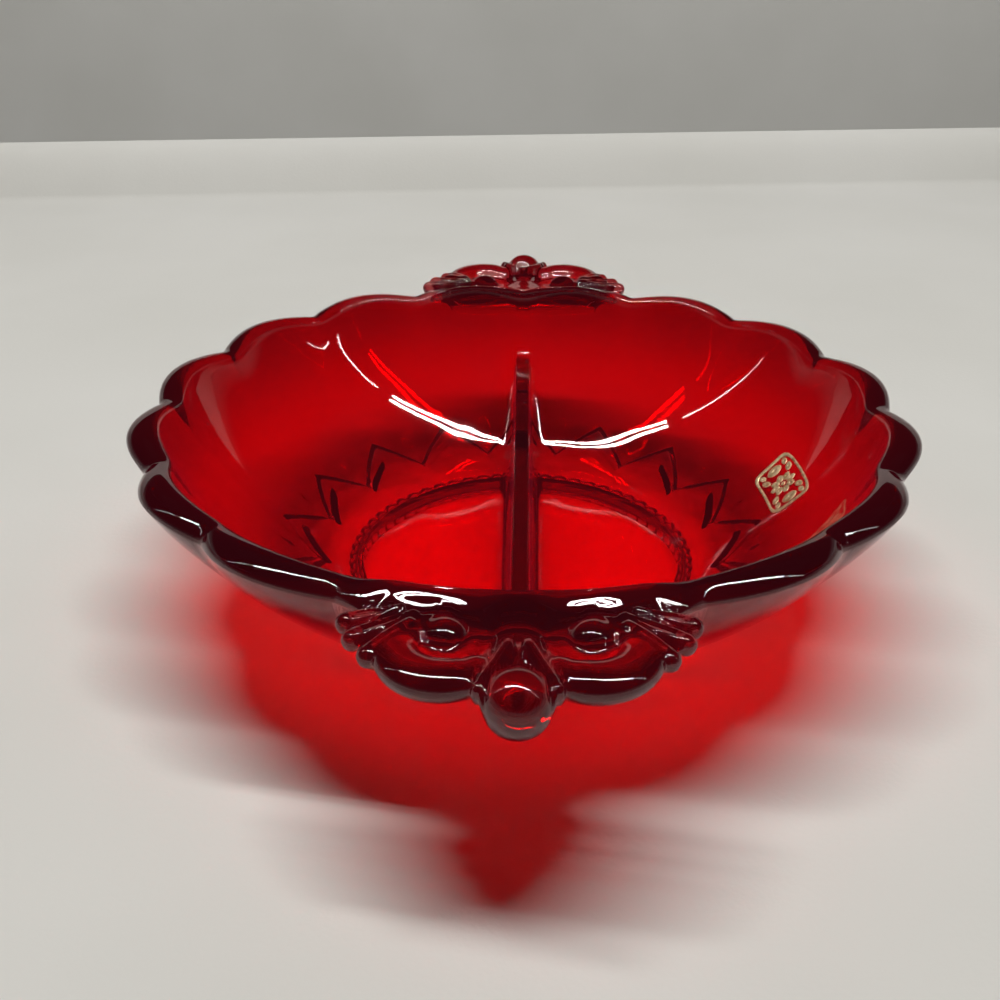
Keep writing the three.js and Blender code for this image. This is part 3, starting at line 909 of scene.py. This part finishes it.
# Distance aside and up, lean, length and width of the leaves of a spray.
SPRAY_LEAVES = ((3.7, 3.0, 0.5, 2.6, 1.6), (6.0, 2.95, 0.25, 2.2, 1.4))


def leaf_outline(a, u, angle, long, wide, steps=20):
    """A pointed oval: an ellipse whose width is drawn in towards both tips."""
    t = np.linspace(0.0, 2 * np.pi, steps, endpoint=False)
    along, aside = long / 2 * np.cos(t), wide / 2 * np.sin(t) * np.abs(np.sin(t)) ** TIP_DRAWN
    return a + along * np.cos(angle) - aside * np.sin(angle), u + along * np.sin(angle) + aside * np.cos(angle)


def frame_outline(width, height, steps=72):
    """A rectangle with round corners: a superellipse of the sixth power."""
    t = np.linspace(0.0, 2 * np.pi, steps, endpoint=False)
    c, s = (np.sign(wave) * np.abs(wave) ** CORNER_POWER for wave in (np.cos(t), np.sin(t)))
    return width / 2 * c, height / 2 * s


def label_islands():
    """Frame, rosette of petals round a boss, two lozenges, and four sprays of leaves."""
    turns = 2 * np.pi / PETAL_COUNT * np.arange(PETAL_COUNT)
    leaves = [(PETAL_REACH * np.cos(a), PETAL_REACH * np.sin(a), a, *PETAL_SIZE) for a in turns]
    leaves.append((0.0, 0.0, 0.0, *BOSS_SIZE))
    for side in (-1, 1):
        leaves.append((side * LOZENGE_ASIDE, 0.0, np.pi / 2, *LOZENGE_SIZE))
        for level in (-1, 1):
            leaves += [(side * a, level * u, side * level * lean, *size) for a, u, lean, *size in SPRAY_LEAVES]
    frame_ring = foil_ring(*frame_outline(*LABEL_SIZE), FRAME_INNER)
    return [frame_ring] + [foil_ring(*leaf_outline(*leaf), 0.0) for leaf in leaves]


islands = label_islands()
print("islands of foil:", len(islands))


# %% The label as one mesh
def gold_label():
    """All islands as one mesh, with their flat label places kept as a UV map."""
    points, quads, places = zip(*islands)
    firsts = np.cumsum([0] + [len(part) for part in points[:-1]])
    quads = np.concatenate([part + first for part, first in zip(quads, firsts)])
    piece = make_mesh("foil_ornament", np.concatenate(points), quads)
    corners = np.empty(len(piece.data.loops), dtype=np.int32)
    piece.data.loops.foreach_get("vertex_index", corners)
    uv = piece.data.uv_layers.new(name="label")
    uv.data.foreach_set("uv", (np.concatenate(places)[corners] / LABEL_SIZE + 0.5).ravel())
    return piece


label = gold_label()
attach(label, "root")
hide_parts("foil_label")
print("label:", len(label.data.polygons), "faces")

# %% [markdown]
# Finishes that both materials share.
# Handling leaves the same traces on glass and on foil: a film of smudges that dulls the gloss here and there, and
# specks of dust. They are worked out once, in one group, and each material takes its own amounts.

# %% Handling group: smudges and dust
DUST_ROUGHNESS = 0.35


def add(nodes, kind, operation=None, **inputs):
    """A node of a kind, with its operation, where it has one, and the named inputs set."""
    node = nodes.new(kind)
    if operation:
        node.operation = operation
    for name, value in inputs.items():
        node.inputs[name.replace("_", " ")].default_value = value
    return node


def wire(links, *routes):
    """One link for each route, which names a node, its output, the next node and its input."""
    for node, output, following, entry in routes:
        links.new(node.outputs[output], following.inputs[entry])


def handling_group():
    """Object places go through two noises. A wide one gives smudges, a fine one gives specks of dust, and both are
    added to the gloss as roughness."""
    group = bpy.data.node_groups.new("handling", "ShaderNodeTree")
    for name, way, kind in (("Place", "INPUT", "Vector"), ("Gloss", "INPUT", "Float"), ("Smudge", "INPUT", "Float"),
                            ("Dust", "INPUT", "Float"), ("Roughness", "OUTPUT", "Float")):
        group.interface.new_socket(name=name, in_out=way, socket_type=f"NodeSocket{kind}")
    nodes = group.nodes
    entry, leave = nodes.new("NodeGroupInput"), nodes.new("NodeGroupOutput")
    smudge = add(nodes, "ShaderNodeTexNoise", Scale=60.0, Detail=4.0, Roughness=0.62)
    wide = add(nodes, "ShaderNodeMapRange", From_Min=0.45, From_Max=0.75)
    speck = add(nodes, "ShaderNodeTexNoise", Scale=2600.0, Detail=2.0)
    fine = add(nodes, "ShaderNodeMapRange", From_Min=0.66, From_Max=0.8)
    film = add(nodes, "ShaderNodeMath", "MULTIPLY_ADD")
    dust = add(nodes, "ShaderNodeMath", "MULTIPLY")
    rough = add(nodes, "ShaderNodeMath", "MULTIPLY_ADD")
    rough.inputs[1].default_value = DUST_ROUGHNESS
    wire(
        group.links,
        (entry, "Place", smudge, "Vector"), (smudge, "Fac", wide, "Value"), (wide, "Result", film, 0),
        (entry, "Smudge", film, 1), (entry, "Gloss", film, 2),
        (entry, "Place", speck, "Vector"), (speck, "Fac", fine, "Value"), (fine, "Result", dust, 0),
        (entry, "Dust", dust, 1), (dust, "Value", rough, 0), (film, "Value", rough, 2),
        (rough, "Value", leave, "Roughness"),
    )
    return group


handling = handling_group()


def handling_marks(nodes, gloss, smudge, dust):
    """The handling group, placed in a material with the material's own amounts."""
    touched = nodes.new("ShaderNodeGroup")
    touched.node_tree = handling
    for name, value in (("Gloss", gloss), ("Smudge", smudge), ("Dust", dust)):
        touched.inputs[name].default_value = value
    return touched


print("shared group:", handling.name)

# %% [markdown]
# Ruby glass.
# The colour of ruby glass lies in its body, not on its skin: a thin wall is bright red and a thick rim nearly black.
# A plain tint would make both alike, so the body absorbs light by its depth. Green and blue are gone after a few
# millimetres, and red fades slowly. A painted shade on the skin darkens the rim, the handles and the divider, and a
# faint painted glow stands for light that is scattered inside. Lamps may pass straight through, so the dish throws a
# clean red glow on the cloth.

# %% Lamp light that passes the glass
FLAT_PASSES = 0.52
STEEP_PASSES = 0.21
RIM_PASSES = 0.4


def passing_light(nodes, links, place):
    """A clear shader for shadow rays: less passes where the glass is steep, and less again from the rim outwards."""
    facing = add(nodes, "ShaderNodeLayerWeight", Blend=0.5)
    steep = add(nodes, "ShaderNodeMapRange", From_Min=0.1, From_Max=0.55, To_Min=FLAT_PASSES, To_Max=STEEP_PASSES)
    level = add(nodes, "ShaderNodeVectorMath", "MULTIPLY")
    level.inputs[1].default_value = (1.0, 1.0, 0.0)
    radius = add(nodes, "ShaderNodeVectorMath", "LENGTH")
    rim = add(nodes, "ShaderNodeMapRange", From_Min=0.064, From_Max=0.071, To_Min=1.0, To_Max=RIM_PASSES)
    passed = add(nodes, "ShaderNodeMath", "MULTIPLY")
    clear = nodes.new("ShaderNodeBsdfTransparent")
    wire(
        links,
        (facing, "Facing", steep, "Value"), (steep, "Result", passed, 0),
        (place, "Object", level, 0), (level, "Vector", radius, 0), (radius, "Value", rim, "Value"),
        (rim, "Result", passed, 1), (passed, "Value", clear, "Color"),
    )
    return clear


print("share of lamp light that passes flat and steep glass:", FLAT_PASSES, STEEP_PASSES)

# %% Ruby glass material
ABSORB_DENSITY = 1500.0
ABSORB_COLOUR = (0.953, 0.02, 0.03, 1.0)
BODY_GLOW = (1.0, 0.05, 0.13, 1.0)
GLOW_STRENGTH = 0.022
# The skin's colour where no shade is painted, and where the painted shade is darkest.
WALL_TINT = (1.0, 0.96, 0.96, 1.0)
RIM_PAINTED_SHADE = (0.4, 0.26, 0.31, 1.0)
GLASS_IOR = 1.52
# A Mix node has sockets for each kind of value. These are the numbers of its colours.
FIRST_COLOUR, SECOND_COLOUR, MIXED_COLOUR = 6, 7, 2


def start_material(name):
    """A new material with its nodes and links."""
    material = bpy.data.materials.new(name)
    material.use_nodes = True
    return material, material.node_tree.nodes, material.node_tree.links


def ruby_glass():
    """Clear glass with absorption in its body, a painted shade on its skin by the depth kept on each point, soft
    ripples from the press, smudges, and see-through shadows."""
    material, nodes, links = start_material("ruby_glass_body")
    material.cycles.emission_sampling = "NONE"
    nodes.clear()
    output = nodes.new("ShaderNodeOutputMaterial")
    glass = add(nodes, "ShaderNodeBsdfPrincipled", IOR=GLASS_IOR, Transmission_Weight=1.0, Emission_Color=BODY_GLOW,
                Emission_Strength=GLOW_STRENGTH)
    # Painted shade: the skin's colour goes from the clear tint to the dark one by the depth kept on each point.
    painted_shade = nodes.new("ShaderNodeAttribute")
    painted_shade.attribute_name = "painted_shade"
    tint = nodes.new("ShaderNodeMix")
    tint.data_type = "RGBA"
    tint.inputs[FIRST_COLOUR].default_value = WALL_TINT
    tint.inputs[SECOND_COLOUR].default_value = RIM_PAINTED_SHADE
    body = add(nodes, "ShaderNodeVolumeAbsorption", Color=ABSORB_COLOUR, Density=ABSORB_DENSITY)
    place = nodes.new("ShaderNodeTexCoord")
    touched = handling_marks(nodes, gloss=0.012, smudge=0.035, dust=0.12)
    ripple = add(nodes, "ShaderNodeTexNoise", Scale=42.0, Detail=1.5, Roughness=0.4)
    bump = add(nodes, "ShaderNodeBump", Strength=0.1, Distance=0.0006)
    clear = passing_light(nodes, links, place)
    path = nodes.new("ShaderNodeLightPath")
    choose = nodes.new("ShaderNodeMixShader")
    wire(
        links,
        (place, "Object", touched, "Place"), (touched, "Roughness", glass, "Roughness"),
        (place, "Object", ripple, "Vector"), (ripple, "Fac", bump, "Height"), (bump, "Normal", glass, "Normal"),
        (painted_shade, "Fac", tint, 0), (tint, MIXED_COLOUR, glass, "Base Color"),
        (path, "Is Shadow Ray", choose, "Fac"), (glass, "BSDF", choose, 1), (clear, "BSDF", choose, 2),
        (choose, "Shader", output, "Surface"), (body, "Volume", output, "Volume"),
    )
    return material


dish.data.materials.append(ruby_glass())
print("material of the dish:", dish.data.materials[0].name)

# %% [markdown]
# Gold foil.
# The print is thin gold, a little worn: the metal is bright, uneven in tone, and dulled by handling. Fine scratches
# across it come from a stretched noise in the label's own flat places.

# %% Gold foil material
FOIL_METAL = 0.5
FOIL_TONES = ((0.35, (0.55, 0.36, 0.17)), (0.62, (0.90, 0.70, 0.42)))


def two_tones(nodes, *tones):
    """A ramp between two tones, each given as its place on the ramp and its colour."""
    ramp = nodes.new("ShaderNodeValToRGB")
    for element, (place, colour) in zip(ramp.color_ramp.elements, tones):
        element.position = place
        element.color = (*colour, 1.0)
    return ramp


def gold_foil():
    """Metal with an uneven tone, a scratch bump along one direction, and the shared smudges."""
    material, nodes, links = start_material("gold_print")
    foil = nodes["Principled BSDF"]
    foil.inputs["Metallic"].default_value = FOIL_METAL
    place = nodes.new("ShaderNodeTexCoord")
    touched = handling_marks(nodes, gloss=0.34, smudge=0.2, dust=0.2)
    tone = add(nodes, "ShaderNodeTexNoise", Scale=900.0, Detail=3.0)
    ramp = two_tones(nodes, *FOIL_TONES)
    stretch = add(nodes, "ShaderNodeMapping", Scale=(14.0, 90.0, 1.0))
    scratch = add(nodes, "ShaderNodeTexNoise", Scale=1.0, Detail=2.0)
    bump = add(nodes, "ShaderNodeBump", Strength=0.25, Distance=0.00005)
    wire(
        links,
        (place, "Object", touched, "Place"), (touched, "Roughness", foil, "Roughness"),
        (place, "Object", tone, "Vector"), (tone, "Fac", ramp, "Fac"), (ramp, "Color", foil, "Base Color"),
        (place, "UV", stretch, "Vector"), (stretch, "Vector", scratch, "Vector"),
        (scratch, "Fac", bump, "Height"), (bump, "Normal", foil, "Normal"),
    )
    return material


label.data.materials.append(gold_foil())
print("material of the label:", label.data.materials[0].name)

# %% [markdown]
# Floor, backdrop and light.
# The dish stands on pale cloth that ends in a low roll, with a shaded cloth leaning further back. Glass lives on what
# it mirrors, so the light is a row of twin strips high overhead in a dim room: the strips draw the thin double lines
# on the wall, and the dim room keeps the rim dark. The ends of the row, the ceiling and the room are seen in
# reflections only, so that no stray light greys the red glow on the cloth.

# %% Cloth floor and backdrop
FLOOR_REACH = 3000.0
FLOOR_LINES = (-FLOOR_REACH, -800.0, 0.0)
ROLL_START, ROLL_CREST, ROLL_END = 338.0, 362.0, 400.0
ROLL_HEIGHT = 22.4
ROLL_FALL = 4.0
ROLL_LEAN = 0.1
BACKDROP_PLACE = (700.0, 840.0)
BACKDROP_HEIGHT = (-200.0, 260.0)
BACKDROP_LINES = 4


def carried(name, profile_y, profile_z, lean=0.0, steps=9):
    """A profile carried sideways over the whole reach of the floor. A lean takes its far part back on one side."""
    across = np.linspace(-FLOOR_REACH, FLOOR_REACH, steps)
    x, y = np.meshgrid(across, profile_y, indexing="ij")
    y = y + lean * x * (y >= ROLL_START)
    points = np.stack([x, y, np.broadcast_to(profile_z, x.shape)], -1)
    return make_mesh(name, points.reshape(-1, 3), grid_quads(np.arange(x.size).reshape(x.shape)))


def table_cloth(steps=15):
    """Flat cloth that ends in a low roll: a quarter sine from a crease to the crest, then a falling parabola."""
    rise = np.linspace(ROLL_START, ROLL_CREST, steps)
    fall = np.linspace(ROLL_CREST, ROLL_END, steps)[1:]
    rise_z = ROLL_HEIGHT * np.sin(np.pi / 2 * (rise - ROLL_START) / (ROLL_CREST - ROLL_START))
    fall_z = ROLL_HEIGHT - ROLL_FALL * ROLL_HEIGHT * ((fall - ROLL_CREST) / (ROLL_END - ROLL_CREST)) ** 2
    profile_z = np.concatenate([np.zeros(len(FLOOR_LINES)), rise_z, fall_z])
    return carried("cloth_floor", np.concatenate([FLOOR_LINES, rise, fall]), profile_z, ROLL_LEAN)


floor = table_cloth()
backdrop = carried("backdrop", np.linspace(*BACKDROP_PLACE, BACKDROP_LINES),
                   np.linspace(*BACKDROP_HEIGHT, BACKDROP_LINES))
print("cloth faces:", len(floor.data.polygons), "and", len(backdrop.data.polygons))

# %% Pale cloth
CLOTH_TONES = ((0.3, (0.70, 0.695, 0.66)), (0.7, (0.75, 0.745, 0.715)))
FLOOR_SHADE = 1.06
BACKDROP_SHADE = 1.05


def cloth_finish(name, shade):
    """Pale cloth of a shade: a slow change of tone, and a fine weave as a bump."""
    material, nodes, links = start_material(name)
    cloth = nodes["Principled BSDF"]
    cloth.inputs["Roughness"].default_value = 0.95
    cloth.inputs["Specular IOR Level"].default_value = 0.1
    place = nodes.new("ShaderNodeTexCoord")
    tone = add(nodes, "ShaderNodeTexNoise", Scale=9.0, Detail=3.0)
    ramp = two_tones(nodes, *((at, [shade * part for part in colour]) for at, colour in CLOTH_TONES))
    weave = add(nodes, "ShaderNodeTexNoise", Scale=900.0, Detail=2.0)
    bump = add(nodes, "ShaderNodeBump", Strength=0.15, Distance=0.0003)
    wire(
        links,
        (place, "Object", tone, "Vector"), (tone, "Fac", ramp, "Fac"), (ramp, "Color", cloth, "Base Color"),
        (place, "Object", weave, "Vector"), (weave, "Fac", bump, "Height"), (bump, "Normal", cloth, "Normal"),
    )
    return material


floor.data.materials.append(cloth_finish("pale_cloth", FLOOR_SHADE))
backdrop.data.materials.append(cloth_finish("shaded_cloth", BACKDROP_SHADE))
print("stage pieces:", floor.name, "and", backdrop.name)

# %% Twin strips overhead and the dim room
STRIP_HEIGHT = 1.5
STRIP_LENGTH = 1.4
STRIP_WIDTH = 0.028
STRIP_APART = 0.056
STRIP_TURN = np.radians(-9.0)
ROW_MIDDLE = 0.03
STRIP_POWER = 10.0
WING_REACH = (0.7, 1.05)
WING_POWER = 2.55
END_REACH = (1.25, 3.3)
END_WIDTH = 0.02
END_POWER = 3.2
CEILING_HEIGHT = 2.6
CEILING_SIDE = 5.0
CEILING_POWER = 0.5
LAMP_COLOUR = (1.0, 0.985, 0.955)
ROOM_COLOUR = (1.0, 0.995, 0.97, 1.0)
ROOM_PALE = 0.3
ROOM_DARK = 0.005


def panel(name, place, length, width, power, lights_cloth=True):
    """One area lamp that faces down. One that does not light the cloth is still seen in reflections."""
    lamp = bpy.data.lights.new(name, "AREA")
    lamp.shape = "RECTANGLE"
    lamp.size, lamp.size_y = length, width
    lamp.energy = power
    lamp.color = LAMP_COLOUR
    holder = bpy.data.objects.new(name, lamp)
    bpy.context.scene.collection.objects.link(holder)
    holder.location = place
    holder.rotation_euler = (0.0, 0.0, STRIP_TURN)
    holder.visible_diffuse = lights_cloth
    return holder


def row_place(along, aside):
    """A place in the row of strips, which passes over the dish a little turned."""
    return (along * np.cos(STRIP_TURN) - aside * np.sin(STRIP_TURN),
            ROW_MIDDLE + along * np.sin(STRIP_TURN) + aside * np.cos(STRIP_TURN), STRIP_HEIGHT)


def dim_room():
    """A room that is pale along the horizon and dark higher up: its level falls with the height of the direction."""
    world = bpy.data.worlds.new("dim_room")
    world.use_nodes = True
    nodes, links = world.node_tree.nodes, world.node_tree.links
    background = nodes["Background"]
    background.inputs["Color"].default_value = ROOM_COLOUR
    direction = nodes.new("ShaderNodeTexCoord")
    parts = nodes.new("ShaderNodeSeparateXYZ")
    level = add(nodes, "ShaderNodeMapRange", From_Min=0.1, From_Max=0.26, To_Min=ROOM_PALE, To_Max=ROOM_DARK)
    wire(links, (direction, "Generated", parts, "Vector"), (parts, "Z", level, "Value"),
         (level, "Result", background, "Strength"))
    return world


pair = (-STRIP_APART / 2, STRIP_APART / 2)
lamps = [panel(f"strip_{k}", row_place(0.0, aside), STRIP_LENGTH, STRIP_WIDTH, STRIP_POWER)
         for k, aside in enumerate(pair)]
for side in (-1, 1):
    for reach, asides, width, power in ((WING_REACH, pair, STRIP_WIDTH, WING_POWER),
                                        (END_REACH, (0.0,), END_WIDTH, END_POWER)):
        for aside in asides:
            lamps.append(panel(f"strip_mirrored_{len(lamps)}", row_place(side * sum(reach) / 2, aside),
                               reach[1] - reach[0], width, power, lights_cloth=False))
lamps.append(panel("ceiling", (0.0, 0.0, CEILING_HEIGHT), CEILING_SIDE, CEILING_SIDE, CEILING_POWER,
                   lights_cloth=False))
scene = bpy.context.scene
scene.world = dim_room()
scene.world.cycles_visibility.diffuse = False
scene.view_settings.view_transform = "Standard"
print("lamps:", len(lamps))

# %% [markdown]
# The camera.
# It stands where the photograph was taken from: a little above the front handle, looking down into the bowl.

# %% Camera
CAMERA_PLACE = (0.000315, -0.205295, 0.130261)
CAMERA_PITCH = 61.2
CAMERA_YAW = 1.31
CAMERA_LENS = 40.39
CAMERA_SENSOR = 36.0
CAMERA_NEAR = 0.005

camera_data = bpy.data.cameras.new("camera")
camera_data.lens = CAMERA_LENS
camera_data.sensor_width = CAMERA_SENSOR
camera_data.clip_start = CAMERA_NEAR
camera = bpy.data.objects.new("camera", camera_data)
camera.location = CAMERA_PLACE
camera.rotation_euler = (np.radians(CAMERA_PITCH), 0.0, np.radians(CAMERA_YAW))
scene.collection.objects.link(camera)
scene.camera = camera
print("camera looks down by", round(90.0 - CAMERA_PITCH, 1), "degrees")
